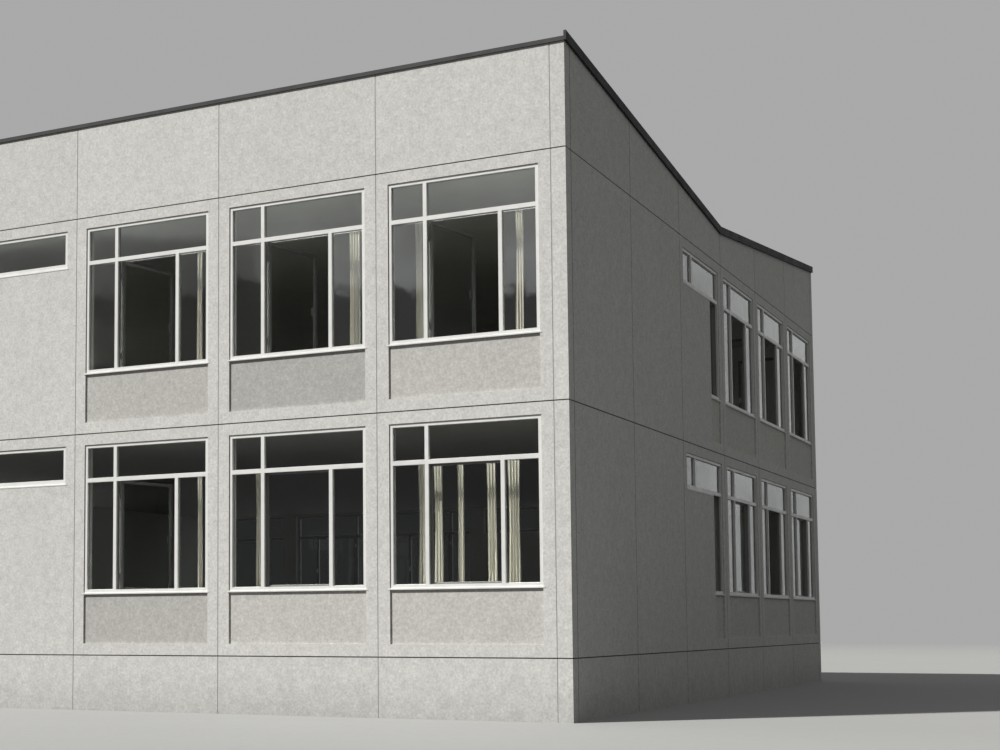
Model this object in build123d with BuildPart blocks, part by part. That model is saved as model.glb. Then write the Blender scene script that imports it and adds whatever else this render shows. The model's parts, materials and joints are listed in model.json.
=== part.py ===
"""A two-storey school pavilion of precast wall panels under a butterfly roof, in millimetres."""

import os
from math import cos, radians, sin

from build123d import *

os.makedirs("parts", exist_ok=True)

# Plan: a square of equal bays with one corner piece at each end of a wall
bay = 2500.0            # one wall panel, from joint to joint
bays = 6
wall = 200.0            # thickness of the panels, and face width of the corner pieces
half = bays * bay / 2 + wall

# Levels
plinth = 800.0          # from the ground to the lowest joint
storey = 3250.0         # from joint to joint
eave_rise = 1390.0      # from the top joint to the underside of the roof deck at the eaves
valley_rise = 550.0     # the same at the valley
low_joint = plinth
mid_joint = plinth + storey
top_joint = plinth + 2 * storey
eave_z = top_joint + eave_rise
valley_z = top_joint + valley_rise

# Joints between the precast pieces
joint_width = 16.0      # open groove that shows on the face
joint_depth = 20.0
seat = 0.5              # gap between pieces that are set close against each other

# Window openings, measured in one bay and up from the joint below it
opening_width = 2150.0
apron_base = 170.0
sill_base = 885.0
head = 3085.0
transom_height = 2560.0  # centre line
apron_setback = 25.0

# Window frames
frame_gap = 5.0
frame_setback = 15.0
frame_depth = 65.0
frame_bar = 42.0
mullion = 54.0
transom = 58.0
glass = 6.0

# Opening lights
sash_lap = 20.0         # how far a sash lies behind the bars round its light
sash_bar = 42.0
sash_depth = 45.0
open_angle = 79.5       # how far an open sash stands open
hinge_width = 11.0
hinge_height = 80.0
hinge_inset = 180.0     # from the top and the foot of the sash

# Sills
sill_thickness = 25.0
sill_nose = 5.0         # in front of the wall face
sill_lap = 25.0         # how far the nose runs on over the panel at each end
sill_fall = 7.0
drip_width = 5.0
drip_depth = 4.0

# Floors
floor_rise = 50.0       # floor level above the joint
slab = 180.0

# Roof
deck = 40.0
gutter_width = 300.0
gutter_depth = 110.0    # below the underside of the deck at the valley
gutter_sheet = 5.0
gutter_flange = 60.0
beam_cheek = 100.0
outlet_radius = 50.0
outlet_spacing = 8000.0
trim_leg = 20.0         # in front of the wall face
trim_lap = 10.0         # down over the panels
trim_sheet = 6.0        # above the deck
trim_flange = 120.0
verge_leg = 35.0        # in front of the end walls, where the trim stands up above the deck
verge_rise = 75.0

# Curtains and the rails that carry them, on the front wall
rail_setback = 350.0    # from the wall face to the middle of the rail
rail_rise = 40.0        # above the transom's centre line
rail_width = 22.0
rail_height = 14.0
bracket = 16.0
curtain_gap = 0.3
curtain_depth = 46.0
curtain_tuck = 150.0    # how far the hem hangs below the sill

# Each wall by name: its direction to the right as seen from outside, and its outward normal
walls = {
    "front": (Vector(1, 0, 0), Vector(0, -1, 0)),
    "right": (Vector(0, 1, 0), Vector(1, 0, 0)),
    "back": (Vector(-1, 0, 0), Vector(0, 1, 0)),
    "left": (Vector(0, -1, 0), Vector(-1, 0, 0)),
}
# The bays of a wall from left to right: blank, toplight, toplight with a strip, full window
patterns = {
    "front": ["blank", "blank", "toplight", "full", "full", "full"],
    "right": ["blank", "blank", "strip", "full", "full", "full"],
}
patterns["back"] = patterns["front"]
patterns["left"] = patterns["right"]
joints = {"lower": low_joint, "upper": mid_joint}
# Opening lights that stand open: wall, storey, bay
open_lights = {
    ("front", "upper", 3), ("front", "upper", 4), ("front", "upper", 5), ("front", "lower", 3),
    ("right", "upper", 3), ("right", "upper", 4), ("right", "upper", 5),
    ("right", "lower", 4), ("right", "lower", 2),
}
# Curtains: storey, bay, distance from the left of the opening, width
curtains = [
    ("lower", 5, 256, 104), ("lower", 5, 484, 135), ("lower", 5, 834, 94),
    ("lower", 5, 1248, 135), ("lower", 5, 1543, 176),
    ("lower", 4, 225, 180), ("lower", 3, 1750, 90),
    ("upper", 5, 240, 110), ("upper", 5, 1690, 115),
    ("upper", 4, 1735, 175), ("upper", 3, 1735, 100),
]

corner_aligned = (Align.MIN, Align.MIN)


def keep(piece, name):
    """Names a finished piece and writes it out."""
    piece.part.label = name
    export_step(piece.part, f"parts/{name}.step")


def wall_plane(side, depth=0.0):
    """The plane of a wall as seen from outside, depth behind its face: x right, y up, z out."""
    along, outward = walls[side]
    return Plane(origin=outward * (half - depth), x_dir=along, z_dir=outward)


def section_plane(side, x):
    """A plane across a wall at x, in which x is the depth behind the face and y is up."""
    along, outward = walls[side]
    return Plane(origin=outward * half + along * x, x_dir=-outward, z_dir=along)


def bay_left(index):
    """Where a bay starts, measured along its wall from the wall's middle."""
    return index * bay - bays * bay / 2


def rectangle(left, low, right, high, mode=Mode.ADD):
    """A rectangle between two corners, in the sketch that is being drawn."""
    with Locations((left, low)):
        Rectangle(right - left, high - low, align=corner_aligned, mode=mode)


def outline(*points):
    """A filled outline through points, in the sketch that is being drawn."""
    Polygon(*points, align=None)


# Openings, frames and lights of one bay, measured from the bay's left and its lower joint
opening_left = (bay - opening_width) / 2
opening_right = bay - opening_left
frame_left = opening_left + frame_gap
frame_right = opening_right - frame_gap
frame_top = head - frame_gap
quarter = (frame_right - frame_left) / 4
left_bar = frame_left + quarter             # centre line of the full-height mullion
right_bar = frame_left + 3 * quarter        # centre line of the mullion below the transom
strip_left = right_bar - mullion / 2 - frame_gap
top_sill_base = transom_height - transom / 2 - sill_thickness
frame_base = sill_base + sill_thickness
top_frame_base = top_sill_base + sill_thickness
toplights = [
    (frame_left + frame_bar, transom_height + transom / 2, left_bar - mullion / 2, frame_top - frame_bar),
    (left_bar + mullion / 2, transom_height + transom / 2, frame_right - frame_bar, frame_top - frame_bar),
]
light_base = frame_base + frame_bar
light_top = transom_height - transom / 2
left_light = (frame_left + frame_bar, light_base, left_bar - mullion / 2, light_top)
middle_light = (left_bar + mullion / 2, light_base, right_bar - mullion / 2, light_top)
right_light = (right_bar + mullion / 2, light_base, frame_right - frame_bar, light_top)

holes = {
    "full": [(opening_left, apron_base, opening_right, head)],
    "toplight": [(opening_left, top_sill_base, opening_right, head)],
    "strip": [
        (opening_left, top_sill_base, opening_right, head),
        (strip_left, apron_base, opening_right, head),
    ],
}
frames = {
    "full": [(frame_left, frame_base, frame_right, frame_top)],
    "toplight": [(frame_left, top_frame_base, frame_right, frame_top)],
    "strip": [
        (frame_left, top_frame_base, frame_right, frame_top),
        (right_bar - mullion / 2, frame_base, frame_right, frame_top),
    ],
}
fixed_lights = {
    "full": toplights + [left_light, right_light],
    "toplight": toplights,
    "strip": toplights,
}
opening_light = {"full": middle_light, "strip": right_light}
aprons = {
    "full": (opening_left + seat, apron_base, opening_right - seat, sill_base),
    "strip": (strip_left + seat, apron_base, opening_right - seat, sill_base),
}
sills = {
    "full": [(opening_left + seat, sill_base, opening_right - seat)],
    "toplight": [(opening_left + seat, top_sill_base, opening_right - seat)],
    "strip": [
        (opening_left + seat, top_sill_base, strip_left - seat),
        (strip_left + seat, sill_base, opening_right - seat),
    ],
}


def windows(side):
    """Every storey and bay of a wall that has a window, with where its bay starts."""
    for level, joint in joints.items():
        for index, kind in enumerate(patterns[side]):
            if kind != "blank":
                yield level, index, kind, bay_left(index), joint


def placed(box, left, joint):
    """A box of one bay moved to where the bay stands on its wall."""
    return box[0] + left, box[1] + joint, box[2] + left, box[3] + joint


# Roof surfaces: height of the deck's underside at a distance from the valley
roof_slope = (eave_z - valley_z) / half


def deck_base(distance):
    return valley_z + roof_slope * distance


with BuildPart() as above_deck:
    reach = half + bay
    with BuildSketch(Plane.YZ):
        outline((-reach, deck_base(reach)), (0, valley_z), (reach, deck_base(reach)),
                (reach, eave_z + storey), (-reach, eave_z + storey))
    extrude(amount=reach, both=True)


def panel_row(side, low, high, low_groove, high_groove, openings=(), cutter=None):
    """One row of panels, each with half a joint cut back round its face."""
    with BuildPart() as row:
        with BuildSketch(wall_plane(side, joint_depth)):
            for index in range(bays):
                left = bay_left(index)
                rectangle(left + seat / 2, low, left + bay - seat / 2, high)
        extrude(amount=joint_depth - wall)
        with BuildSketch(wall_plane(side)):
            for index in range(bays):
                left = bay_left(index)
                rectangle(left + joint_width / 2, low + low_groove,
                          left + bay - joint_width / 2, high - high_groove)
        extrude(amount=-joint_depth)
        if openings:
            with BuildSketch(wall_plane(side)):
                for opening in openings:
                    rectangle(*opening)
            extrude(amount=-wall, mode=Mode.SUBTRACT)
        if cutter:
            add(cutter, mode=Mode.SUBTRACT)
    return row


# Walls, side by side: plinth, two storeys, and the band under the roof
for side in walls:
    groove = joint_width / 2
    keep(panel_row(side, 0, low_joint, 0, groove), f"{side}_plinth")
    for level, joint in joints.items():
        openings = [
            placed(hole, bay_left(index), joint)
            for index, kind in enumerate(patterns[side]) for hole in holes.get(kind, [])
        ]
        panels = panel_row(side, joint, joint + storey, groove, groove, openings)
        keep(panels, f"{side}_{level}_panels")
    band = panel_row(side, top_joint, eave_z + deck, groove, 0, cutter=above_deck.part)
    keep(band, f"{side}_top_panels")

# Corner pieces, one stack at the right-hand end of each wall
corner_names = {
    "front": "front_right_corner", "right": "back_right_corner",
    "back": "back_left_corner", "left": "front_left_corner",
}
corner_levels = [(0, low_joint), (low_joint, mid_joint), (mid_joint, top_joint),
                 (top_joint, eave_z + deck)]
for side, (along, outward) in walls.items():
    with BuildPart() as corner:
        foot = Plane(origin=(outward + along) * half, x_dir=-outward, z_dir=(0, 0, 1))
        for low, high in corner_levels:
            low_groove = joint_width / 2 if low > 0 else 0
            high_groove = joint_width / 2 if high < eave_z else 0
            with BuildSketch(foot.offset(low)):
                rectangle(joint_depth, joint_depth, wall - seat / 2, wall - seat / 2)
            extrude(amount=high - low - seat)
            with BuildSketch(foot.offset(low + low_groove)):
                rectangle(0, 0, wall - joint_width / 2, wall - joint_width / 2)
            extrude(amount=high - low - low_groove - max(high_groove, seat))
        add(above_deck.part, mode=Mode.SUBTRACT)
    keep(corner, corner_names[side])

# Aprons under the windows, set back a little from the wall face
for level, joint in joints.items():
    with BuildPart() as apron_set:
        for side in walls:
            with BuildSketch(wall_plane(side, apron_setback)):
                for index, kind in enumerate(patterns[side]):
                    if kind in aprons:
                        rectangle(*placed(aprons[kind], bay_left(index), joint))
            extrude(amount=apron_setback - wall)
    keep(apron_set, f"{level}_aprons")


# Sills
def sill(side, left, base, right, right_lap):
    """A sill right through the wall, with a sloped top, a drip and a nose that laps the panels."""
    front_top = base + sill_thickness - sill_fall
    with BuildSketch(section_plane(side, left)) as section:
        outline(
            (-sill_nose, base), (-sill_nose, front_top), (frame_setback, base + sill_thickness),
            (wall, base + sill_thickness), (wall, base),
        )
        drip_left = -sill_nose + drip_width
        rectangle(drip_left, base, drip_left + drip_width, base + drip_depth, mode=Mode.SUBTRACT)
    extrude(section.sketch, amount=right - left)
    with BuildSketch(section_plane(side, left - sill_lap)) as nose:
        rectangle(-sill_nose, base, -seat, front_top)
    extrude(nose.sketch, amount=sill_lap + right - left + right_lap)


for wanted, joint in joints.items():
    with BuildPart() as sill_set:
        for side in walls:
            for level, index, kind, left, _ in windows(side):
                if level == wanted:
                    for start, base, end in sills[kind]:
                        beside_panel = end > strip_left
                        sill(side, left + start, joint + base, left + end,
                             sill_lap if beside_panel else 0)
    keep(sill_set, f"{wanted}_sills")

# Window frames, each one piece with its mullions and transom
for side in walls:
    with BuildPart() as frame_set:
        with BuildSketch(wall_plane(side, frame_setback)):
            for _, _, kind, left, joint in windows(side):
                for box in frames[kind]:
                    rectangle(*placed(box, left, joint))
                lights = fixed_lights[kind] + [opening_light.get(kind)]
                for light in filter(None, lights):
                    rectangle(*placed(light, left, joint), mode=Mode.SUBTRACT)
        extrude(amount=-frame_depth)
    keep(frame_set, f"{side}_window_frames")

# Opening lights: a sash closes against the inside of its frame and hangs at its left inner edge
sash_setback = frame_setback + frame_depth + seat


def sash_plane(side, level, index, left, joint):
    """The outer face of one sash, with its origin at the foot of its left edge."""
    angle = radians(open_angle) if (side, level, index) in open_lights else 0
    along, outward = walls[side]
    light = opening_light[patterns[side][index]]
    hinge = along * (left + light[0] - sash_lap) + outward * (half - sash_setback - sash_depth)
    x_dir = along * cos(angle) - outward * sin(angle)
    z_dir = outward * cos(angle) + along * sin(angle)
    corner = hinge + z_dir * sash_depth
    return Plane(origin=(corner.X, corner.Y, joint + light[1] - sash_lap), x_dir=x_dir, z_dir=z_dir)


def sash_size(kind):
    light = opening_light[kind]
    return light[2] - light[0] + 2 * sash_lap, light[3] - light[1] + 2 * sash_lap


for wanted in joints:
    with BuildPart() as sash_set:
        for side in walls:
            for level, index, kind, left, joint in windows(side):
                if level == wanted and kind in opening_light:
                    width, height = sash_size(kind)
                    with BuildSketch(sash_plane(side, level, index, left, joint)):
                        rectangle(0, 0, width, height)
                        rectangle(sash_bar, sash_bar, width - sash_bar, height - sash_bar,
                                  mode=Mode.SUBTRACT)
                    extrude(amount=-sash_depth)
    keep(sash_set, f"{wanted}_sashes")

# Hinges: a block on the inside of the frame, with a knuckle at the edge that the sash turns on
knuckle = hinge_width / 2
with BuildPart() as hinge_set:
    for side, (along, outward) in walls.items():
        for level, index, kind, left, joint in windows(side):
            if kind in opening_light:
                light = opening_light[kind]
                foot = light[1] - sash_lap + hinge_inset
                top = light[3] + sash_lap - hinge_inset - hinge_height
                corner = outward * (half - sash_setback) + along * (left + light[0] - sash_lap - seat)
                for rise in (foot, top):
                    with BuildSketch(Plane(origin=(corner.X, corner.Y, joint + rise), x_dir=along)):
                        outline((0, 0), (0, sash_depth), (-knuckle / 2, sash_depth + knuckle),
                                (-3 * knuckle / 2, sash_depth + knuckle), (-hinge_width, sash_depth),
                                (-hinge_width, 0))
                    extrude(amount=hinge_height)
keep(hinge_set, "window_hinges")

# Glass: each pane sits in the middle of its frame or sash
for side in walls:
    with BuildPart() as pane_set:
        with BuildSketch(wall_plane(side, frame_setback + (frame_depth - glass) / 2)):
            for _, _, kind, left, joint in windows(side):
                for light in fixed_lights[kind]:
                    low_x, low_z, high_x, high_z = placed(light, left, joint)
                    rectangle(low_x + seat, low_z + seat, high_x - seat, high_z - seat)
        extrude(amount=-glass)
        for level, index, kind, left, joint in windows(side):
            if kind in opening_light:
                width, height = sash_size(kind)
                edge = sash_bar + seat
                pane_plane = sash_plane(side, level, index, left, joint)
                with BuildSketch(pane_plane.offset(-(sash_depth - glass) / 2)):
                    rectangle(edge, edge, width - edge, height - edge)
                extrude(amount=-glass)
    keep(pane_set, f"{side}_glass")

# Floors and the ceiling under the roof, from wall to wall
for name, joint in (("ground_floor", low_joint), ("upper_floor", mid_joint), ("ceiling", top_joint)):
    with BuildPart() as floor:
        with BuildSketch(Plane.XY.offset(joint + floor_rise - slab)):
            Rectangle(bays * bay, bays * bay)
        extrude(amount=slab)
    keep(floor, name)

# Roof decks, which fall from the eaves to the valley
gutter_half = gutter_width / 2
for side, towards in (("front", -1), ("back", 1)):
    with BuildPart() as roof:
        with BuildSketch(Plane.YZ):
            outline((0, valley_z), (towards * half, eave_z),
                    (towards * half, eave_z + deck), (0, valley_z + deck))
        extrude(amount=half, both=True)
        with BuildSketch(Plane.XY.offset(valley_z)):
            Rectangle(bays * bay, gutter_width)
        extrude(amount=storey, mode=Mode.SUBTRACT)
    keep(roof, f"{side}_roof_deck")

# Valley beam: a channel between the end walls that stands on the ceiling
trough_base = valley_z - gutter_depth
cheek = gutter_half + beam_cheek
with BuildPart() as beam:
    with BuildSketch(Plane.YZ):
        beam_foot = top_joint + floor_rise
        outline((-cheek, beam_foot), (cheek, beam_foot), (cheek, deck_base(cheek)),
                (gutter_half, deck_base(gutter_half)), (gutter_half, trough_base),
                (-gutter_half, trough_base), (-gutter_half, deck_base(gutter_half)),
                (-cheek, deck_base(cheek)))
    extrude(amount=bays * bay / 2, both=True)
    with BuildSketch(Plane.XY.offset(beam_foot)):
        with GridLocations(outlet_spacing, 0, 2, 1):
            Circle(outlet_radius)
    extrude(amount=storey, mode=Mode.SUBTRACT)
keep(beam, "valley_beam")

# Gutter lining with its edges turned over the decks, and its two outlets
inner = gutter_half - seat
lip = gutter_half + gutter_flange
lip_gap = deck + seat
with BuildPart() as gutter:
    with BuildSketch(Plane.YZ):
        left_side = [
            (-inner, trough_base), (-inner, deck_base(inner) + lip_gap), (-lip, deck_base(lip) + lip_gap),
            (-lip, deck_base(lip) + lip_gap + gutter_sheet),
            (-inner + gutter_sheet, deck_base(inner) + lip_gap + gutter_sheet),
            (-inner + gutter_sheet, trough_base + gutter_sheet),
        ]
        right_side = [(-y, z) for y, z in reversed(left_side)]
        outline(*left_side, *right_side)
    extrude(amount=bays * bay / 2 - seat, both=True)
    with BuildSketch(Plane.XY.offset(trough_base - deck)):
        with GridLocations(outlet_spacing, 0, 2, 1):
            Circle(outlet_radius - seat - gutter_sheet)
    extrude(amount=storey, mode=Mode.SUBTRACT)
keep(gutter, "valley_gutter")


# Edge trim round the roof: a leg down the wall face, an upstand on the end walls, and a flange on the deck
trim_top = deck + trim_sheet


def trim_band(towards, end, low_offset, high_offset):
    """A band along the deck's edge from the valley up one slope, in the sketch that is being drawn."""
    start = seat / 2
    outline(
        (towards * start, deck_base(start) + low_offset), (towards * end, deck_base(end) + low_offset),
        (towards * end, deck_base(end) + high_offset), (towards * start, deck_base(start) + high_offset),
    )


with BuildPart() as trim:
    flange_reach = half - trim_flange - seat
    for side in ("front", "back"):
        with BuildSketch(section_plane(side, -flange_reach)):
            outline((0, eave_z + deck), (0, eave_z + trim_top),
                    (trim_flange, deck_base(half - trim_flange) + trim_top),
                    (trim_flange, deck_base(half - trim_flange) + deck))
        extrude(amount=2 * flange_reach)
        with BuildSketch(section_plane(side, seat - half)):
            rectangle(-trim_leg, eave_z - trim_lap, 0, eave_z + trim_top)
        extrude(amount=2 * (half - seat))
    for side in ("right", "left"):
        with BuildSketch(wall_plane(side)):
            for towards in (-1, 1):
                trim_band(towards, half + trim_leg, -trim_lap, deck + verge_rise)
        extrude(amount=verge_leg)
        with BuildSketch(wall_plane(side)):
            for towards in (-1, 1):
                trim_band(towards, half - seat, deck, trim_top)
        extrude(amount=-trim_flange)
keep(trim, "roof_edge_trim")

# Curtain rails behind the front windows, on brackets from the panels between them
windowed = [index for index, kind in enumerate(patterns["front"]) if kind == "full"]
rail_start = bay_left(windowed[0])
rail_end = bay_left(windowed[-1]) + bay
with BuildPart() as rails:
    for joint in joints.values():
        rail_z = joint + transom_height + rail_rise
        rail_face = rail_setback - rail_width / 2
        with BuildSketch(wall_plane("front", rail_face)):
            rectangle(rail_start, rail_z - rail_height / 2, rail_end, rail_z + rail_height / 2)
        extrude(amount=-rail_width)
        with BuildSketch(wall_plane("front", wall)):
            for index in windowed:
                for x in (opening_left / 2, bay - opening_left / 2):
                    foot = bay_left(index) + x - bracket / 2
                    rectangle(foot, rail_z - rail_height / 2, foot + bracket, rail_z + rail_height / 2)
        extrude(amount=wall - rail_face)
keep(rails, "curtain_rails")

# Curtains, drawn together into narrow bundles
with BuildPart() as curtain_set:
    with BuildSketch(wall_plane("front", rail_setback - curtain_depth / 2)):
        for level, index, offset, width in curtains:
            start = bay_left(index) + opening_left + offset
            joint = joints[level]
            rectangle(start, joint + sill_base - curtain_tuck, start + width,
                      joint + transom_height + rail_rise - rail_height / 2 - curtain_gap)
    extrude(amount=-curtain_depth)
keep(curtain_set, "curtains")
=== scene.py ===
"""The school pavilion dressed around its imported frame, in metres.

Materials, joints, putty, fittings, curtains, roof felt, floor, sky, sun and camera.
"""

import json
import math

import bpy
import numpy as np
from mathutils import Matrix, Vector


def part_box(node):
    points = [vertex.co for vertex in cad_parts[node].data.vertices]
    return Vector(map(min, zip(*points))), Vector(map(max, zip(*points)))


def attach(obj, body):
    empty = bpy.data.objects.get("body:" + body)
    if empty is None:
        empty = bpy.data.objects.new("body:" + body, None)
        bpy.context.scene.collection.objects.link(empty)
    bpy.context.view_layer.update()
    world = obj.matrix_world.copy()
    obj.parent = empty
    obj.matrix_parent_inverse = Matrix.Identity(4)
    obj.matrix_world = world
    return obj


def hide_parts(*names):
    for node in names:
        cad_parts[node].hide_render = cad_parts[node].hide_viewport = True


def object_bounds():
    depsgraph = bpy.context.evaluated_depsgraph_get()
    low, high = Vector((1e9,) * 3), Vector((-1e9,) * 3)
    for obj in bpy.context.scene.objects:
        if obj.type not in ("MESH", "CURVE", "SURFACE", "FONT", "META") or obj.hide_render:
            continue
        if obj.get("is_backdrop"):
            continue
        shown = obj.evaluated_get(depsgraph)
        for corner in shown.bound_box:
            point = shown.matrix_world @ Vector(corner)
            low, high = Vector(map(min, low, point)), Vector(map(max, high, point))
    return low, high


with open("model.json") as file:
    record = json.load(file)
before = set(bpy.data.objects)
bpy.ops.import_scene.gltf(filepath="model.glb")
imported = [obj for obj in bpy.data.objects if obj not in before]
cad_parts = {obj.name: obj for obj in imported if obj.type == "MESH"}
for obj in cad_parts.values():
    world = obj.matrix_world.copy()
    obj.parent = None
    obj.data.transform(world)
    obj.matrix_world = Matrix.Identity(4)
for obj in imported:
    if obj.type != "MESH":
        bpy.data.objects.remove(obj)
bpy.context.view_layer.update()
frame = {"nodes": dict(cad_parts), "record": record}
nodes = frame["nodes"]
random = np.random.default_rng(11)

# Main sizes of the building, as the frame has them
half = -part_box("front_plinth")[0].y         # from the middle of the plan to a wall face
low_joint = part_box("front_plinth")[1].z
mid_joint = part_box("front_lower_panels")[1].z
top_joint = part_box("front_upper_panels")[1].z
panels_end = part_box("front_lower_panels")[1].x
bays = 6
bay = round(2 * panels_end / bays, 3)
edge_joint = bays * bay / 2                 # the joint between the last panel and the corner piece
deck_low, deck_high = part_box("back_roof_deck")
gutter_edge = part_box("valley_gutter")[1].y
deck_thickness = 0.04
roof_slope = (deck_high.z - deck_low.z - deck_thickness) / (deck_high.y - deck_low.y)
joint_width = 0.016
joint_depth = 0.020
inner_face = half - 0.09                    # surfaces further in than this are finished as rooms
glass_line = half - 0.0475                  # window frames get painted shade further in than this, on their faces behind the glass
frame_back = half - 0.0795                  # fixed panes stand before this, opening ones behind it

# Roof felt, laid in sheets along the building
felt_start = gutter_edge + 0.002            # where the lowest sheet begins, from the valley
felt_end = half - 0.122                     # where the top one ends, at the trim's flange
felt_width = 1.0
felt_lap = 0.08
felt_thickness = 0.003

up = Vector((0, 0, 1))
walls = {
    "front": (Vector((1, 0, 0)), Vector((0, -1, 0))),
    "right": (Vector((0, 1, 0)), Vector((1, 0, 0))),
    "back": (Vector((-1, 0, 0)), Vector((0, 1, 0))),
    "left": (Vector((0, -1, 0)), Vector((-1, 0, 0))),
}


def deck_top(distance):
    """Height of the roof deck's upper face at a distance from the valley."""
    return deck_high.z - roof_slope * (half - distance)


# Materials


class Graph:
    """The nodes of one material, with a short call for each kind in use."""

    def __init__(self, name):
        self.material = bpy.data.materials.new(name)
        self.material.use_nodes = True
        self.tree = self.material.node_tree
        self.tree.nodes.clear()
        self.place = self.new("ShaderNodeTexCoord").outputs["Object"]

    def new(self, kind, **settings):
        node = self.tree.nodes.new(kind)
        for key, value in settings.items():
            setattr(node, key, value)
        return node

    def put(self, socket, value):
        if isinstance(value, bpy.types.NodeSocket):
            self.tree.links.new(value, socket)
        elif value is not None:
            socket.default_value = value

    def math(self, operation, *values):
        node = self.new("ShaderNodeMath", operation=operation)
        for socket, value in zip(node.inputs, values):
            self.put(socket, value)
        return node.outputs[0]

    def product(self, *values):
        result = values[0]
        for value in values[1:]:
            result = self.math("MULTIPLY", result, value)
        return result

    def axes(self, vector=None):
        node = self.new("ShaderNodeSeparateXYZ")
        self.put(node.inputs[0], vector or self.place)
        return node.outputs

    def stretched(self, factors):
        node = self.new("ShaderNodeMapping")
        self.put(node.inputs["Vector"], self.place)
        node.inputs["Scale"].default_value = factors
        return node.outputs[0]

    def noise(self, scale, detail=4.0, roughness=0.55, stretch=None):
        """Noise from 0 to 1, with about scale features in a metre."""
        node = self.new("ShaderNodeTexNoise")
        self.put(node.inputs["Vector"], self.stretched(stretch) if stretch else self.place)
        node.inputs["Scale"].default_value = scale
        node.inputs["Detail"].default_value = detail
        node.inputs["Roughness"].default_value = roughness
        return node.outputs["Fac"]

    def grains(self, scale):
        """Distance to the nearest of many scattered grains."""
        node = self.new("ShaderNodeTexVoronoi")
        self.put(node.inputs["Vector"], self.place)
        node.inputs["Scale"].default_value = scale
        return node.outputs["Distance"]

    def cell_shade(self, x, y, z):
        """A steady random value for each cell of a grid."""
        joined = self.new("ShaderNodeCombineXYZ")
        for socket, value in zip(joined.inputs, (x, y, z)):
            self.put(socket, value)
        node = self.new("ShaderNodeTexWhiteNoise", noise_dimensions="3D")
        self.put(node.inputs["Vector"], joined.outputs[0])
        return node.outputs["Value"]

    def between(self, value, low, high, start=0.0, end=1.0):
        """Start below low, end above high, and smooth between them."""
        node = self.new("ShaderNodeMapRange", interpolation_type="SMOOTHSTEP")
        for name, number in (("From Min", low), ("From Max", high), ("To Min", start), ("To Max", end)):
            node.inputs[name].default_value = number
        self.put(node.inputs["Value"], value)
        return node.outputs["Result"]

    def swing(self, value, amount):
        """Turns a value from 0 to 1 into a tone from 1 - amount to 1 + amount."""
        return self.math("MULTIPLY_ADD", value, 2 * amount, 1 - amount)

    def mix(self, factor, first, second):
        node = self.new("ShaderNodeMix", data_type="RGBA")
        for index, value in ((0, factor), (6, first), (7, second)):
            self.put(node.inputs[index], value)
        return node.outputs[2]

    def toned(self, colour, tone):
        node = self.new("ShaderNodeVectorMath", operation="SCALE")
        self.put(node.inputs[0], colour if isinstance(colour, bpy.types.NodeSocket) else colour[:3])
        self.put(node.inputs["Scale"], tone)
        return node.outputs[0]

    def bump(self, height, distance, strength=1.0, normal=None):
        node = self.new("ShaderNodeBump")
        node.inputs["Strength"].default_value = strength
        node.inputs["Distance"].default_value = distance
        self.put(node.inputs["Height"], height)
        self.put(node.inputs["Normal"], normal)
        return node.outputs[0]

    def principled(self, **values):
        """A Principled shader with its sockets set by name, underscores standing for spaces."""
        node = self.new("ShaderNodeBsdfPrincipled")
        for name, value in values.items():
            self.put(node.inputs[name.replace("_", " ")], value)
        return node.outputs[0]

    def finish(self, shader):
        self.put(self.new("ShaderNodeOutputMaterial").inputs["Surface"], shader)
        return self.material


def rgb(red, green, blue):
    return (red, green, blue, 1.0)


def panel_shade(graph):
    """A steady random value for each wall panel."""
    x, y, z = graph.axes()
    column, row = (
        graph.math("FLOOR", graph.math("DIVIDE", graph.math("ADD", axis, edge_joint), bay))
        for axis in (x, y))
    level = graph.math("GREATER_THAN", z, low_joint)
    for joint in (mid_joint, top_joint):
        level = graph.math("ADD", level, graph.math("GREATER_THAN", z, joint))
    return graph.cell_shade(column, row, level)


def room_share(graph, limit=inner_face):
    """1 on surfaces inside the building and 0 on its outer faces and reveals."""
    x, y, _ = graph.axes()
    reach = graph.math("MAXIMUM", graph.math("ABSOLUTE", x), graph.math("ABSOLUTE", y))
    return graph.math("LESS_THAN", reach, limit)


def concrete(name, colour, blotch, bays_tone=None):
    """Fine washed concrete: sand and stone grains, soft cloudy patches, faint runs, and soil at its foot."""
    graph = Graph(name)
    _, _, z = graph.axes()
    clouds = graph.swing(graph.noise(0.7, 6.0, 0.6), blotch)
    patches = graph.swing(graph.noise(5.0, 6.0, 0.62), blotch * 1.5)
    mottle = graph.product(
        graph.swing(graph.noise(30.0, 3.0), 0.32), graph.swing(graph.noise(12.0, 2.0), 0.18))
    sand = graph.noise(210.0, 2.0, 0.7)
    stones = graph.grains(135.0)
    runs = graph.swing(graph.noise(1.0, 5.0, 0.6, stretch=(5.0, 5.0, 0.22)), 0.035)
    panel = graph.swing(panel_shade(graph), 0.018)
    ragged = graph.math("MULTIPLY", graph.noise(3.0, 5.0), 0.5)
    splash = graph.between(graph.math("ADD", z, ragged), 0.15, 0.9, 0.82)
    tone = graph.product(
        clouds, patches, mottle, graph.swing(sand, 0.2), graph.between(stones, 0.0, 0.55, 1.08, 0.86),
        runs, panel, splash)
    if bays_tone is not None:
        tone = graph.product(tone, bays_tone(graph))
    outside = graph.toned(colour, tone)
    rooms = graph.toned(rgb(0.64, 0.635, 0.61), graph.swing(graph.noise(1.4, 4.0), 0.06))
    height = graph.math("ADD", graph.math("MULTIPLY", sand, 0.6), stones)
    shader = graph.principled(
        Base_Color=graph.mix(room_share(graph), outside, rooms),
        Roughness=graph.between(sand, 0.2, 0.8, 0.82, 0.95),
        Specular_IOR_Level=0.3,
        Normal=graph.bump(height, 0.0012, 0.6, graph.bump(graph.noise(1.6, 3.0), 0.004, 0.5)),
    )
    return graph.finish(shader)


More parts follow.
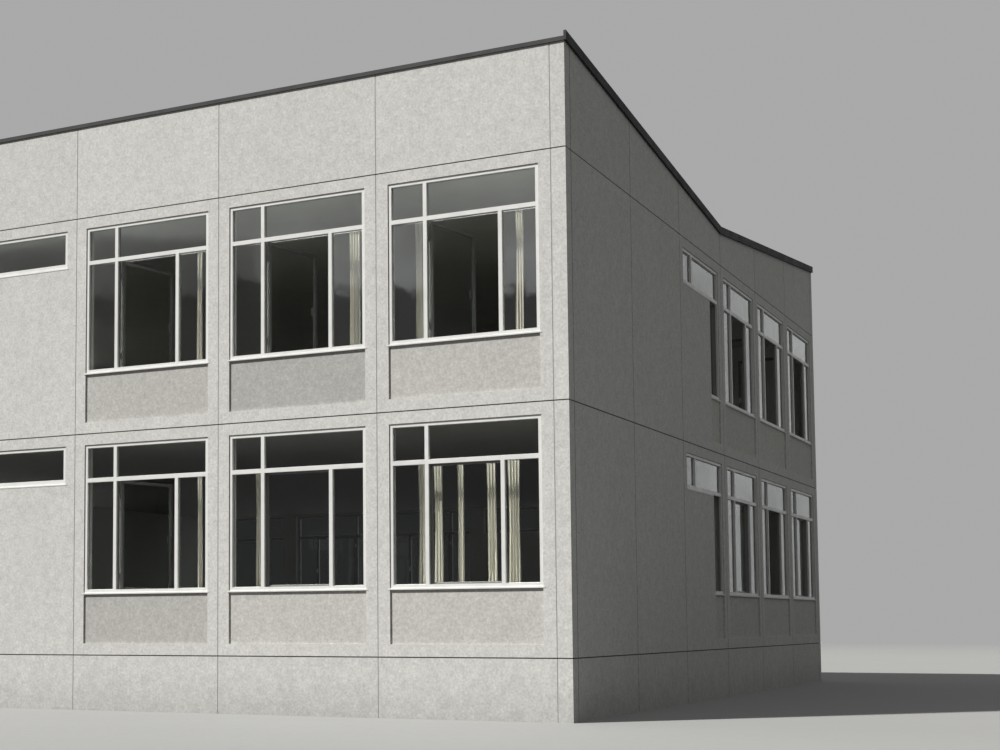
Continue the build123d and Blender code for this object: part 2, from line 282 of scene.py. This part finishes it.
def apron_tones(graph):
    """Shades of the aprons: on the front and back some are darker, on the side walls all are alike."""
    x, y, z = graph.axes()
    faces_side = graph.math("GREATER_THAN", graph.math("ABSOLUTE", x), graph.math("ABSOLUTE", y))
    share = graph.math("DIVIDE", graph.math("ADD", x, edge_joint), bays * bay)
    shades = []
    lower_steps = ((0.0, 0.80), (4 / bays, 0.93), (5 / bays, 0.94))
    upper_steps = ((0.0, 0.84), (4 / bays, 0.74), (5 / bays, 0.90))
    for steps in (lower_steps, upper_steps):
        ramp = graph.new("ShaderNodeValToRGB")
        ramp.color_ramp.interpolation = "CONSTANT"
        stops = ramp.color_ramp.elements
        while len(stops) < len(steps):
            stops.new(0.5)
        for stop, (position, shade) in zip(stops, steps):
            stop.position = position
            stop.color = rgb(shade, shade, shade)
        graph.put(ramp.inputs[0], share)
        shades.append(ramp.outputs[0])
    by_level = graph.mix(graph.math("GREATER_THAN", z, mid_joint), shades[0], shades[1])
    return graph.mix(faces_side, by_level, rgb(1.0, 1.0, 1.0))


def paint(name, colour, roughness, recess_shade_tone=1.0):
    """Gloss paint on timber: faint brush lines, settled grime, and painted shade on the faces behind the
    glass.
    """
    graph = Graph(name)
    grime = graph.between(graph.noise(3.5, 6.0, 0.65), 0.42, 0.75, 1.0, 0.90)
    brush = graph.noise(60.0, 3.0, 0.6, stretch=(1.0, 1.0, 0.12))
    tone = graph.product(grime, graph.swing(brush, 0.02), graph.swing(graph.noise(0.9, 3.0), 0.02))
    # painted shade: frame faces behind the glass line lie in the recess and are toned darker
    if recess_shade_tone != 1.0:
        inside = room_share(graph, glass_line)
        tone = graph.product(tone, graph.between(inside, 0.0, 1.0, 1.0, recess_shade_tone))
    shader = graph.principled(
        Base_Color=graph.toned(colour, tone),
        Roughness=graph.between(graph.noise(8.0, 5.0), 0.3, 0.7, roughness, roughness + 0.18),
        Normal=graph.bump(brush, 0.0008, 0.5),
    )
    return graph.finish(shader)


def glazing(name):
    """Drawn glass with a slight wave and a thin film of dust; lamps reach what is behind it."""
    graph = Graph(name)
    wave = graph.noise(1.7, 2.0, 0.5, stretch=(1.0, 1.0, 0.6))
    dust = graph.between(graph.noise(4.0, 6.0, 0.7), 0.35, 0.8, 0.0, 0.02)
    pane = graph.principled(
        Base_Color=rgb(0.93, 0.955, 0.94),
        Roughness=dust,
        IOR=1.5,
        Transmission_Weight=1.0,
        Normal=graph.bump(wave, 0.0035, 0.35),
    )
    clear = graph.new("ShaderNodeBsdfTransparent")
    clear.inputs["Color"].default_value = rgb(0.9, 0.93, 0.91)
    choose = graph.new("ShaderNodeMixShader")
    graph.put(choose.inputs[0], graph.new("ShaderNodeLightPath").outputs["Is Shadow Ray"])
    graph.put(choose.inputs[1], pane)
    graph.put(choose.inputs[2], clear.outputs[0])
    return graph.finish(choose.outputs[0])


def room_surfaces(name):
    """Floors with dark linoleum in sheets, and plastered undersides, the lower one darker than the upper one.
    """
    graph = Graph(name)
    x, _, z = graph.axes()
    normal = graph.axes(graph.new("ShaderNodeNewGeometry").outputs["Normal"])
    marbling = graph.noise(9.0, 8.0, 0.7, stretch=(1.0, 2.6, 1.0))
    seam = graph.between(graph.math("PINGPONG", graph.math("ADD", x, 20.0), 1.0), 0.0, 0.004, 0.5, 1.0)
    lino = graph.toned(rgb(0.10, 0.088, 0.076), graph.product(graph.swing(marbling, 0.35), seam))
    whiteness = graph.between(z, mid_joint + 1.0, mid_joint + 2.0, 0.36, 0.76)
    patches = graph.swing(graph.noise(2.2, 6.0, 0.6), 0.1)
    plaster = graph.toned(rgb(1.0, 0.99, 0.94), graph.product(patches, whiteness))
    top = graph.math("GREATER_THAN", normal[2], 0.5)
    shader = graph.principled(
        Base_Color=graph.mix(top, plaster, lino),
        Roughness=graph.between(marbling, 0.2, 0.8, 0.45, 0.85),
        Normal=graph.bump(graph.noise(40.0, 4.0), 0.0015, 0.4),
    )
    return graph.finish(shader)


def sheet_metal(name, colour, roughness, metallic, joints_every=None):
    """Folded sheet: slight unevenness, weathering blooms, and a joint between lengths."""
    graph = Graph(name)
    x, y, _ = graph.axes()
    bloom = graph.noise(2.6, 7.0, 0.65)
    fine = graph.swing(graph.noise(40.0, 3.0), 0.05)
    tone = graph.product(graph.between(bloom, 0.3, 0.75, 0.85, 1.35), fine)
    if joints_every:
        along = graph.math("ADD", x, y)
        near = graph.math("PINGPONG", graph.math("ADD", along, 20 * joints_every), joints_every / 2)
        tone = graph.product(tone, graph.between(near, 0.002, 0.005, 0.35, 1.0))
    shader = graph.principled(
        Base_Color=graph.toned(colour, tone),
        Metallic=metallic,
        Roughness=graph.between(bloom, 0.3, 0.8, roughness, roughness + 0.2),
        Normal=graph.bump(graph.noise(3.0, 3.0), 0.004, 0.5),
    )
    return graph.finish(shader)


def felt(name):
    """Mineral felt: dark slate grains, bitumen along each lap, and dust washed towards the valley."""
    graph = Graph(name)
    _, y, _ = graph.axes()
    grain = graph.grains(320.0)
    dust = graph.between(graph.noise(0.8, 7.0, 0.65), 0.45, 0.72)
    distance = graph.math("ABSOLUTE", y)
    low = graph.between(distance, 0.2, 3.0, 1.0, 0.25)
    row = graph.math("DIVIDE", graph.math("SUBTRACT", distance, felt_start), felt_width - felt_lap)
    sheet = graph.swing(graph.cell_shade(graph.math("FLOOR", row), graph.math("SIGN", y), 0.0), 0.10)
    ragged = graph.math("ADD", graph.math("FRACT", row), graph.math("MULTIPLY", graph.noise(14.0, 3.0), 0.03))
    bitumen = graph.between(ragged, 0.02, 0.045, 0.45, 1.0)
    slate = graph.between(grain, 0.1, 0.7, 0.6, 1.5)
    speckle = graph.toned(rgb(0.085, 0.087, 0.09), graph.product(slate, sheet, bitumen))
    washed = graph.toned(rgb(0.22, 0.21, 0.19), graph.swing(graph.noise(30.0, 5.0), 0.2))
    shader = graph.principled(
        Base_Color=graph.mix(graph.product(dust, low, 0.7), speckle, washed),
        Roughness=graph.between(grain, 0.1, 0.7, 0.85, 0.97),
        Normal=graph.bump(grain, 0.0015, 0.7, graph.bump(graph.noise(2.5, 4.0), 0.006, 0.5)),
    )
    return graph.finish(shader)


def mastic(name, colour):
    """Jointing mastic, dull and a little cracked."""
    graph = Graph(name)
    cracks = graph.noise(45.0, 6.0, 0.7)
    shader = graph.principled(
        Base_Color=graph.toned(colour, graph.swing(cracks, 0.3)),
        Roughness=graph.between(cracks, 0.3, 0.7, 0.75, 0.95),
        Normal=graph.bump(cracks, 0.002, 0.8),
    )
    return graph.finish(shader)


def cloth_finish(name):
    """Cream cotton: a plain weave of crossing threads, slubs and softly faded bands."""
    graph = Graph(name)
    upright, level = (900.0, 900.0, 25.0), (25.0, 25.0, 900.0)
    weave = graph.math("MAXIMUM", *(graph.noise(1.0, 2.0, 0.5, stretch=run) for run in (upright, level)))
    slubs = graph.noise(1.0, 4.0, 0.6, stretch=(40.0, 40.0, 6.0))
    faded = graph.noise(2.4, 3.0, 0.5)
    tone = graph.product(graph.swing(weave, 0.08), graph.swing(slubs, 0.05), graph.swing(faded, 0.05))
    shader = graph.principled(
        Base_Color=graph.toned(rgb(0.52, 0.485, 0.42), tone),
        Roughness=graph.between(weave, 0.3, 0.7, 0.8, 0.95),
        Sheen_Weight=0.25,
        Sheen_Roughness=0.5,
        Normal=graph.bump(weave, 0.0006, 0.6),
    )
    return graph.finish(shader)


white = rgb(0.79, 0.788, 0.767)
frame_recess_shade = 0.35                          # painted shade on the window frames behind the glass, as a share of the white
finishes = {
    "wall_concrete": concrete("wall_concrete_look", rgb(0.70, 0.692, 0.664), 0.035),
    "apron_concrete": concrete("apron_concrete_look", rgb(0.65, 0.64, 0.607), 0.055, apron_tones),
    "floor_concrete": room_surfaces("room_surface_look"),
    "window_paint": paint("window_paint_look", white, 0.3, frame_recess_shade),
    "sash_paint": paint("sash_paint_look", rgb(0.25, 0.25, 0.243), 0.35),
    "sill_paint": paint("sill_paint_look", white, 0.45),
    "window_glass": glazing("window_glass_look"),
    "trim_metal": sheet_metal("trim_metal_look", rgb(0.02, 0.02, 0.021), 0.6, 0.0, bay),
    "roof_felt": felt("roof_felt_look"),
    "gutter_zinc": sheet_metal("gutter_zinc_look", rgb(0.34, 0.35, 0.36), 0.45, 0.8, bay),
    "rail_metal": sheet_metal("rail_metal_look", rgb(0.62, 0.62, 0.62), 0.35, 0.9),
    "curtain_fabric": cloth_finish("curtain_fabric_look"),
    # one mastic in two tones: the dark one is the pale one with painted shade, for joints that lie in shadow
    "painted_shade_mastic": mastic("dark_mastic_look", rgb(0.10, 0.098, 0.092)),
    "pale_mastic": mastic("pale_mastic_look", rgb(0.43, 0.424, 0.40)),
}
for row in frame["record"]["subparts"]:
    cad_node = nodes[row["node"]]
    cad_node.data.materials.clear()
    cad_node.data.materials.append(finishes[row["material_slot"]])


# Shapes


class Shape:
    """Points and faces that are gathered into one piece."""

    def __init__(self):
        self.points, self.faces = [], []

    def add(self, points, faces):
        start = len(self.points)
        self.points += [tuple(point) for point in points]
        self.faces += [[start + index for index in face] for face in faces]

    def tube(self, sections, closed=False):
        """A skin through sections that have the same number of points, with ends unless it is closed."""
        count, rows = len(sections[0]), len(sections)
        faces = []
        for row in range(rows if closed else rows - 1):
            after = (row + 1) % rows
            for i in range(count):
                j = (i + 1) % count
                faces.append([row * count + i, row * count + j, after * count + j, after * count + i])
        if not closed:
            faces += [list(range(count))[::-1], [(rows - 1) * count + i for i in range(count)]]
        self.add([point for section in sections for point in section], faces)

    def bar(self, start, end, across, out, profile):
        """A straight bar from start to end with a profile of points (across, out)."""
        self.tube([[base + across * a + out * b for a, b in profile] for base in (start, end)])

    def ring(self, centre, along, through, width, height, profile):
        """A mitred ring inside a rectangle, with a profile of points (inset, through)."""
        sections = []
        for side, level in ((-1, -1), (1, -1), (1, 1), (-1, 1)):
            section = []
            for inset, depth in profile:
                aside = along * side * (width / 2 - inset)
                section.append(centre + aside + up * level * (height / 2 - inset) + through * depth)
            sections.append(section)
        self.tube(sections, closed=True)

    def rod(self, start, end, radius, sides=10):
        """A round rod between two points."""
        axis = (end - start).normalized()
        first = axis.orthogonal().normalized()
        second = axis.cross(first)
        angles = [2 * math.pi * i / sides for i in range(sides)]
        circle = [(math.cos(angle) * radius, math.sin(angle) * radius) for angle in angles]
        self.bar(start, end, first, second, circle)

    def build(self, name, look, slot=None, smooth=False):
        """Makes the piece and lets it ride on the building."""
        mesh = bpy.data.meshes.new(name)
        mesh.from_pydata(self.points, [], self.faces)
        piece = bpy.data.objects.new(name, mesh)
        bpy.context.scene.collection.objects.link(piece)
        mesh.materials.append(finishes[look])
        mesh.polygons.foreach_set("use_smooth", [smooth] * len(mesh.polygons))
        mesh.update()
        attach(piece, "root")
        return piece


def solids_of(name):
    """The points of each solid of a CAD node."""
    mesh = nodes[name].data
    points = np.array([vertex.co for vertex in mesh.vertices])
    unique, index = np.unique(np.round(points, 4), axis=0, return_inverse=True)
    index = index.ravel()
    owner = list(range(len(unique)))

    def root(i):
        while owner[i] != i:
            owner[i] = owner[owner[i]]
            i = owner[i]
        return i

    for polygon in mesh.polygons:
        first = index[polygon.vertices[0]]
        for vertex in polygon.vertices[1:]:
            owner[root(index[vertex])] = root(first)
    groups = {}
    for i, point in enumerate(unique):
        groups.setdefault(root(i), []).append(point)
    return [np.array(group) for _, group in sorted(groups.items())]


def upright_box(points):
    """Centre, directions along and through, width, height and thickness of an upright box."""
    foot = points[points[:, 2] < points[:, 2].min() + 1e-3][:, :2]
    middle = foot.mean(axis=0)
    _, axes = np.linalg.eigh(np.cov((foot - middle).T))
    across, along = axes[:, 0], axes[:, 1]
    width, thickness = np.ptp(foot @ along), np.ptp(foot @ across)
    low, high = points[:, 2].min(), points[:, 2].max()
    centre = Vector((middle[0], middle[1], (low + high) / 2))
    return centre, Vector((*along, 0)), Vector((*across, 0)), width, high - low, thickness


# Mastic in the joints between the precast pieces. One mastic in two tones: the dark tone on the level joints,
# and on the upright ones of the side walls, is painted shade
level_depth, upright_depth = 0.010, 0.0025  # of the strips' faces behind the wall face
strip_side = joint_width / 2 - 0.0003       # from the middle of a strip to its edge
strip_back = joint_depth - 0.0005
strip_hollow = 0.0018
strip_short = 0.001                         # at an outer end


def groove_profile(depth):
    """A strip that fills the bottom of a joint up to a depth, its face hollowed a little."""
    hollow = -depth - strip_hollow
    return [(-strip_side, -strip_back), (strip_side, -strip_back), (strip_side, -depth),
            (strip_side / 2, hollow), (-strip_side / 2, hollow), (-strip_side, -depth)]


painted_shade_strips, pale_strips = Shape(), Shape()
for along, outward in walls.values():
    long_wall = abs(outward.y) > 0.5        # the front or the back, whose eaves are level
    for joint in (low_joint, mid_joint, top_joint):
        reach = along * (half - level_depth - strip_short)
        base = outward * half + up * joint
        painted_shade_strips.bar(base - reach, base + reach, up, outward, groove_profile(level_depth))
    # painted shade: the upright joints on the side walls lie in shade and take the dark tone
    upright_strips = pale_strips if long_wall else painted_shade_strips
    for index in range(bays + 1):
        offset = index * bay - edge_joint
        base = outward * half + along * offset
        top = deck_top(half if long_wall else abs(offset)) - deck_thickness - 2 * strip_short
        stops = [strip_short, low_joint, mid_joint, top_joint, top]
        for low, high in zip(stops, stops[1:]):
            foot = base + up * (low if low == stops[0] else low + joint_width / 2)
            head = base + up * (high if high == stops[-1] else high - joint_width / 2)
            upright_strips.bar(foot, head, along, outward, groove_profile(upright_depth))
painted_shade_strips.build("painted_shade_joint_mastic", "painted_shade_mastic")
pale_strips.build("pale_joint_mastic", "pale_mastic")

# Putty fillets that hold the glass, on both sides of each pane
bead_inset = 0.005                          # over the edge of the pane
bead_depth = 0.011                          # up the frame, from the pane's face
bead_edge = -0.0004                         # just inside the frame, so that no gap shows
bead_gap = 0.0002                           # off the pane
beads = {"window_paint": Shape(), "sash_paint": Shape()}
for side in walls:
    for points in solids_of(f"{side}_glass"):
        centre, along, through, width, height, thickness = upright_box(points)
        fixed = max(abs(centre.x), abs(centre.y)) > frame_back
        skin = thickness / 2 + bead_gap
        fillet = [(bead_edge, skin), (bead_inset, skin),
                  (bead_inset * 0.6, skin + bead_depth * 0.55), (bead_edge, skin + bead_depth)]
        for facing in (through, -through):
            beads["window_paint" if fixed else "sash_paint"].ring(
                centre, along, facing, width, height, fillet)
beads["window_paint"].build("frame_putty", "window_paint", "window_paint")
beads["sash_paint"].build("sash_putty", "sash_paint", "sash_paint")


def outermost_wall(points):
    """The wall that a solid stands closest to."""
    return walls[max(walls, key=lambda name: max(Vector(point).dot(walls[name][1]) for point in points))]


# Pins of the hinges, and handles of the opening lights
pin_radius = 0.0028
pin_depth = 0.0038                          # of the pin's axis, from the hinge's innermost point
pin_end = 0.004                             # what shows of a pin above and below its hinge
sash_bar = 0.042
plate = [(-0.014, 0.0), (-0.014, -0.003), (-0.010, -0.006), (0.010, -0.006), (0.014, -0.003), (0.014, 0.0)]
plate_reach = 0.05                          # up and down, from the middle of the sash
neck_rise, neck_radius = 0.025, 0.007
neck_start, neck_end = 0.004, 0.040         # how far in from the sash
lever = [(-0.008, -0.004), (-0.005, -0.007), (0.005, -0.007), (0.008, -0.004), (0.008, 0.004),
         (-0.008, 0.004)]
lever_depth = 0.036
lever_above, lever_below = 0.012, 0.095     # the neck
pins, handles = Shape(), Shape()
for points in solids_of("window_hinges"):
    wall_along, outward = outermost_wall(points)
    depth = min(Vector(point).dot(outward) for point in points) + pin_depth
    middle = sum(Vector(point).dot(wall_along) for point in points) / len(points)
    axis = wall_along * middle + outward * depth
    low, high = points[:, 2].min() - pin_end, points[:, 2].max() + pin_end
    pins.rod(axis + up * low, axis + up * high, pin_radius)
for level in ("lower", "upper"):
    for points in solids_of(f"{level}_sashes"):
        centre, along, _, width, height, thickness = upright_box(points)
        wall_along, outward = outermost_wall(points)
        ends = [centre - along * width / 2, centre + along * width / 2]
        shut = abs(ends[0].dot(outward) - ends[1].dot(outward)) < 0.01
        ends.sort(key=lambda end: end.dot(wall_along) if shut else -end.dot(outward))
        hung, free = ends
        to_free = (free - hung).normalized()
        outer = to_free.cross(up)
        rose = free - to_free * sash_bar / 2 - outer * thickness / 2
        handles.bar(rose - up * plate_reach, rose + up * plate_reach, to_free, outer, plate)
        neck = rose + up * neck_rise
        handles.rod(neck - outer * neck_start, neck - outer * neck_end, neck_radius)
        grip = neck - outer * lever_depth
        handles.bar(grip + up * lever_above, grip - up * lever_below, to_free, outer, lever)
pins.build("hinge_pins", "rail_metal", "rail_metal")
handles.build("casement_handles", "rail_metal", "rail_metal")


# Curtains: gathered cloth in the place of each plain block, with gliders on the rail
pleat_width = 0.042
columns_in_pleat = 10
cloth_rows = 30


def curtain(name, low, high):
    """One bundle of cloth in soft pleats that draw in below the rail and open towards the hem."""
    width, depth, height = high - low
    pleats = max(2, round(width / pleat_width))
    columns = pleats * columns_in_pleat
    phases = random.uniform(0, 2 * math.pi, 4)
    deepness = random.uniform(0.62, 1.0, pleats + 1)
    middle = (low + high) / 2
    points, lengths = [], []
    for row in range(cloth_rows + 1):
        fall = row / cloth_rows
        squeeze = 1 - 0.10 * math.sin(math.pi * min(1.0, fall * 1.35))
        squeeze -= 0.04 * math.sin(5 * fall + phases[0])
        drift = 0.05 * width * math.sin(2.2 * fall + phases[1]) * fall
        gather = 0.55 + 0.45 * min(1.0, fall * 4)
        line = []
        for column in range(columns + 1):
            share = column / columns
            turn = 2 * math.pi * pleats * share
            deep = np.interp(share * pleats, np.arange(pleats + 1), deepness) * gather
            sway = 0.35 * math.sin(3.1 * fall + phases[2] + 4 * share) * fall
            x = middle[0] + drift + width * squeeze * 0.48 * (2 * share - 1)
            x += width / pleats * 0.16 * math.sin(2 * turn + phases[3] * fall)
            y = middle[1] + depth * 0.46 * deep * math.sin(turn + sway)
            line.append(Vector((x, y, high[2] - fall * height)))
        lengths.append(sum((b - a).length for a, b in zip(line, line[1:])))
        points += line
    faces = []
    for row in range(cloth_rows):
        for column in range(columns):
            corner = row * (columns + 1) + column
            faces.append([corner, corner + 1, corner + columns + 2, corner + columns + 1])
    cloth = Shape()
    cloth.add(points, faces)
    piece = cloth.build(name, "curtain_fabric", "curtain_fabric", smooth=True)
    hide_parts("curtains")
    return pleats


glider = [(-0.0015, -0.005), (0.0015, -0.005), (0.0015, 0.005), (-0.0015, 0.005)]
glider_foot, glider_head = -0.012, 0.004    # from the cloth's upper edge
gliders = Shape()
for number, points in enumerate(solids_of("curtains"), 1):
    low, high = points.min(axis=0), points.max(axis=0)
    pleats = curtain(f"curtain_{number}", low, high)
    for pleat in range(pleats):
        x = low[0] + (high[0] - low[0]) * (0.06 + 0.88 * (pleat + 0.5) / pleats)
        top = Vector((x, (low[1] + high[1]) / 2, high[2]))
        foot, head = top + up * glider_foot, top + up * glider_head
        gliders.bar(foot, head, Vector((1, 0, 0)), Vector((0, 1, 0)), glider)
gliders.build("curtain_gliders", "rail_metal", "rail_metal")

# Roof felt in lapped sheets on both decks, the upper sheet always over the lower one
under = 0.0003                              # between the deck and a sheet
felt_sheets = Shape()
for side in (-1, 1):
    start = felt_start
    lift = 0.0                              # of the lower edge, by the sheet that it laps
    while start < felt_end - felt_lap:
        end = min(start + felt_width, felt_end)
        lapped = min(start + felt_lap, end)
        section = [(start, lift + under), (lapped, under), (end, under), (end, felt_thickness),
                   (lapped, felt_thickness), (start, lift + felt_thickness)]
        felt_sheets.tube([[Vector((x, side * y, deck_top(y) + rise)) for y, rise in section]
                          for x in (-felt_end, felt_end)])
        start, lift = end - felt_lap, felt_thickness
felt_sheets.build("roof_felt_sheets", "roof_felt", "roof_felt")

# Wire guards over the two gutter outlets, each a basket of two hoops and bent wires
outlet = 4.0                                # from the middle of the valley
guard_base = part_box("valley_gutter")[0].z + 0.005
guard_radius, guard_height = 0.06, 0.075
hoop_rise, hoop_wire = 0.003, 0.0025
upper_hoop, upper_rise = guard_radius * 0.72, 0.055
basket_wire = 0.002
hoop_sides, basket_wires, wire_steps = 24, 12, 6


def diamond(size):
    """The section of a wire."""
    return ((size, 0), (0, size), (-size, 0), (0, -size))


def spokes(count):
    """Level directions all round."""
    angles = [2 * math.pi * i / count for i in range(count)]
    return [Vector((math.cos(angle), math.sin(angle), 0)) for angle in angles]


guards = Shape()
for x in (-outlet, outlet):
    foot = Vector((x, 0, guard_base))
    for radius, rise in ((guard_radius, hoop_rise), (upper_hoop, upper_rise)):
        hoop = []
        for spoke in spokes(hoop_sides):
            centre = foot + spoke * radius + up * rise
            hoop.append([centre + spoke * a + up * b for a, b in diamond(hoop_wire)])
        guards.tube(hoop, closed=True)
    for spoke in spokes(basket_wires):
        tangent = spoke.cross(up)
        wire = []
        for step in range(wire_steps + 1):
            lean = step / wire_steps * math.pi / 2
            centre = foot + spoke * guard_radius * math.cos(lean)
            centre += up * (hoop_rise + guard_height * math.sin(lean))
            normal = spoke * math.cos(lean) + up * math.sin(lean)
            wire.append([centre + tangent * a + normal * b for a, b in diamond(basket_wire)])
        guards.tube(wire)
guards.build("outlet_guards", "gutter_zinc", "gutter_zinc")

# Floor: a plain disc that fades out far from the building
floor_radius, floor_sides = 80.0, 96
fade_start, fade_end = 26.0, 75.0


def floor_look():
    """Pale floor for the camera, and a darker one for the light that it throws up, as grass would."""
    graph = Graph("stage_floor_look")
    x, y, _ = graph.axes()
    distance = graph.math("SQRT", graph.math("ADD", graph.product(x, x), graph.product(y, y)))
    tone = graph.product(
        graph.swing(graph.noise(0.35, 5.0, 0.6), 0.04), graph.swing(graph.noise(25.0, 4.0), 0.03))
    seen = graph.new("ShaderNodeLightPath").outputs["Is Camera Ray"]
    surface = graph.principled(
        Base_Color=graph.toned(graph.mix(seen, rgb(0.13, 0.13, 0.128), rgb(0.36, 0.36, 0.355)), tone),
        Roughness=graph.between(graph.noise(6.0, 4.0), 0.3, 0.7, 0.8, 0.95),
        Specular_IOR_Level=0.2,
        Normal=graph.bump(graph.noise(30.0, 4.0), 0.002, 0.4),
    )
    fade = graph.new("ShaderNodeMixShader")
    graph.put(fade.inputs[0], graph.between(distance, fade_start, fade_end))
    graph.put(fade.inputs[1], surface)
    graph.put(fade.inputs[2], graph.new("ShaderNodeBsdfTransparent").outputs[0])
    return graph.finish(fade.outputs[0])


rim = [spoke * floor_radius for spoke in spokes(floor_sides)]
floor_mesh = bpy.data.meshes.new("stage_floor")
floor_mesh.from_pydata(
    [(0, 0, 0)] + rim, [], [[0, 1 + i, 1 + (i + 1) % floor_sides] for i in range(floor_sides)])
floor_mesh.materials.append(floor_look())
stage_floor = bpy.data.objects.new("stage_floor", floor_mesh)
bpy.context.scene.collection.objects.link(stage_floor)
stage_floor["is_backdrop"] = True

# Sky: a plain backdrop for the camera, and a soft sky with clouds and trees that lights and is mirrored


class SkyGraph(Graph):
    """The world's nodes. Directions are in degrees, azimuths from +Y towards +X."""

    def __init__(self, world):
        world.use_nodes = True
        self.tree = world.node_tree
        self.tree.nodes.clear()
        self.place = self.new("ShaderNodeTexCoord").outputs["Generated"]

    def along(self, direction):
        """The cosine of the angle to a direction."""
        node = self.new("ShaderNodeVectorMath", operation="DOT_PRODUCT")
        self.put(node.inputs[0], self.place)
        node.inputs[1].default_value = direction
        return node.outputs["Value"]

    def towards(self, azimuth, elevation, wide, narrow):
        """1 within the narrow angle of a direction, and 0 outside the wide one."""
        a, e, outer, inner = (math.radians(angle) for angle in (azimuth, elevation, wide, narrow))
        direction = (math.sin(a) * math.cos(e), math.cos(a) * math.cos(e), math.sin(e))
        return self.between(self.along(direction), math.cos(outer), math.cos(inner))

    def beyond(self, azimuth, soft=0.015):
        """1 past an upright edge at an azimuth and 0 before it."""
        a = math.radians(azimuth)
        return self.between(self.along((math.cos(a), -math.sin(a), 0)), -soft, soft)


backdrop_tone = 0.40
sky_tone = 0.255
open_tone = 0.3                             # added on the open side
tree_tone = 0.01
leaf_tone, sunny_leaf_tone = 0.14, 0.17     # added in reflections
world = bpy.data.worlds.new("studio")
bpy.context.scene.world = world
sky = SkyGraph(world)
_, _, sky_z = sky.axes()
light_path = sky.new("ShaderNodeLightPath").outputs
mirrored = sky.product(light_path["Is Glossy Ray"], sky.math("LESS_THAN", light_path["Diffuse Depth"], 0.5))

# The sky above a ragged line of trees, open down to the ground where the right-hand wall's panes look
horizon = sky.math("ADD", sky_z, sky.math("MULTIPLY", sky.noise(22.0, 8.0, 0.65), 0.05))
open_side = sky.towards(17.0, 8.0, 17.0, 11.0)
shown = sky.math("MAXIMUM", sky.between(horizon, 0.2295, 0.2355), open_side)

# A cloud bank and tall trees where the front panes look, in reflections alone
cloud_bank = sky.product(
    sky.towards(211.0, 17.0, 26.0, 12.0), mirrored, sky.between(sky_z, 0.225, 0.250, 1.14, 0.65))
tall_trees = sky.product(
    sky.beyond(210.4), sky.towards(235.0, 8.0, 45.0, 35.0),
    sky.between(sky_z, 0.232, 0.245, 1.0, 0.0), mirrored)
brightness = sky.math("ADD", sky_tone, cloud_bank)
brightness = sky.math("ADD", brightness, sky.math("MULTIPLY", open_side, open_tone))
clouds = sky.swing(sky.noise(16.0, 6.0, 0.68), 0.8)
brightness = sky.product(brightness, clouds, sky.between(tall_trees, 0.0, 1.0, 1.0, 0.28))

# Leaves, paler in reflections and palest in the sun
leaves = sky.product(sky.towards(200.0, 0.0, 110.0, 50.0), mirrored, leaf_tone)
sunny_leaves = sky.product(
    sky.towards(202.0, 11.0, 10.0, 5.0), sky.between(sky_z, 0.13, 0.156), mirrored, sunny_leaf_tone)
trees = sky.math("ADD", sky.math("ADD", tree_tone, leaves), sunny_leaves)

plain, lit = sky.new("ShaderNodeBackground"), sky.new("ShaderNodeBackground")
plain.inputs["Color"].default_value = rgb(backdrop_tone, backdrop_tone, backdrop_tone)
lit.inputs["Color"].default_value = rgb(0.98, 1.0, 1.0)
sky.put(lit.inputs["Strength"], sky.math("ADD", sky.product(brightness, shown), trees))
choice = sky.new("ShaderNodeMixShader")
sky.put(choice.inputs[0], light_path["Is Camera Ray"])
sky.put(choice.inputs[1], lit.outputs[0])
sky.put(choice.inputs[2], plain.outputs[0])
sky.put(sky.new("ShaderNodeOutputWorld").inputs["Surface"], choice.outputs[0])

# Sun, high and to the left in front of the building
sun_azimuth = math.radians(42.0)            # left of straight out from the front wall
sun_elevation = math.radians(47.0)
sun_distance = 30.0
to_sun = Vector((-math.sin(sun_azimuth) * math.cos(sun_elevation),
                 -math.cos(sun_azimuth) * math.cos(sun_elevation), math.sin(sun_elevation)))
sun_data = bpy.data.lights.new("key", "SUN")
sun_data.energy = 4.72
sun_data.angle = math.radians(2.0)
sun_data.color = (1.0, 0.985, 0.955)
sun = bpy.data.objects.new("key", sun_data)
sun.rotation_euler = to_sun.to_track_quat("Z", "Y").to_euler()
sun.location = to_sun * sun_distance
bpy.context.scene.collection.objects.link(sun)

# Camera, from the photo's joints and corners
camera_place = Vector((14.399, -26.558, 1.244))
yaw, pitch, roll = (math.radians(angle) for angle in (-27.67, 4.273, -0.220))
level_ahead = Vector((math.sin(yaw), math.cos(yaw), 0))
level_right = Vector((math.cos(yaw), -math.sin(yaw), 0))
ahead = level_ahead * math.cos(pitch) + up * math.sin(pitch)
pitched_up = up * math.cos(pitch) - level_ahead * math.sin(pitch)
right = level_right * math.cos(roll) + pitched_up * math.sin(roll)
above = pitched_up * math.cos(roll) - level_right * math.sin(roll)
camera_data = bpy.data.cameras.new("camera")
camera_data.sensor_width = 36.0
camera_data.lens = 57.13
camera_data.shift_x = 0.155
camera_data.shift_y = 0.130
camera_data.clip_end = 500.0
camera = bpy.data.objects.new("camera", camera_data)
turn = Matrix((right, above, -ahead)).transposed().to_4x4()
camera.matrix_world = Matrix.Translation(camera_place) @ turn
bpy.context.scene.collection.objects.link(camera)
bpy.context.scene.camera = camera
bpy.context.scene.view_settings.view_transform = "Standard"

low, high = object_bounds()
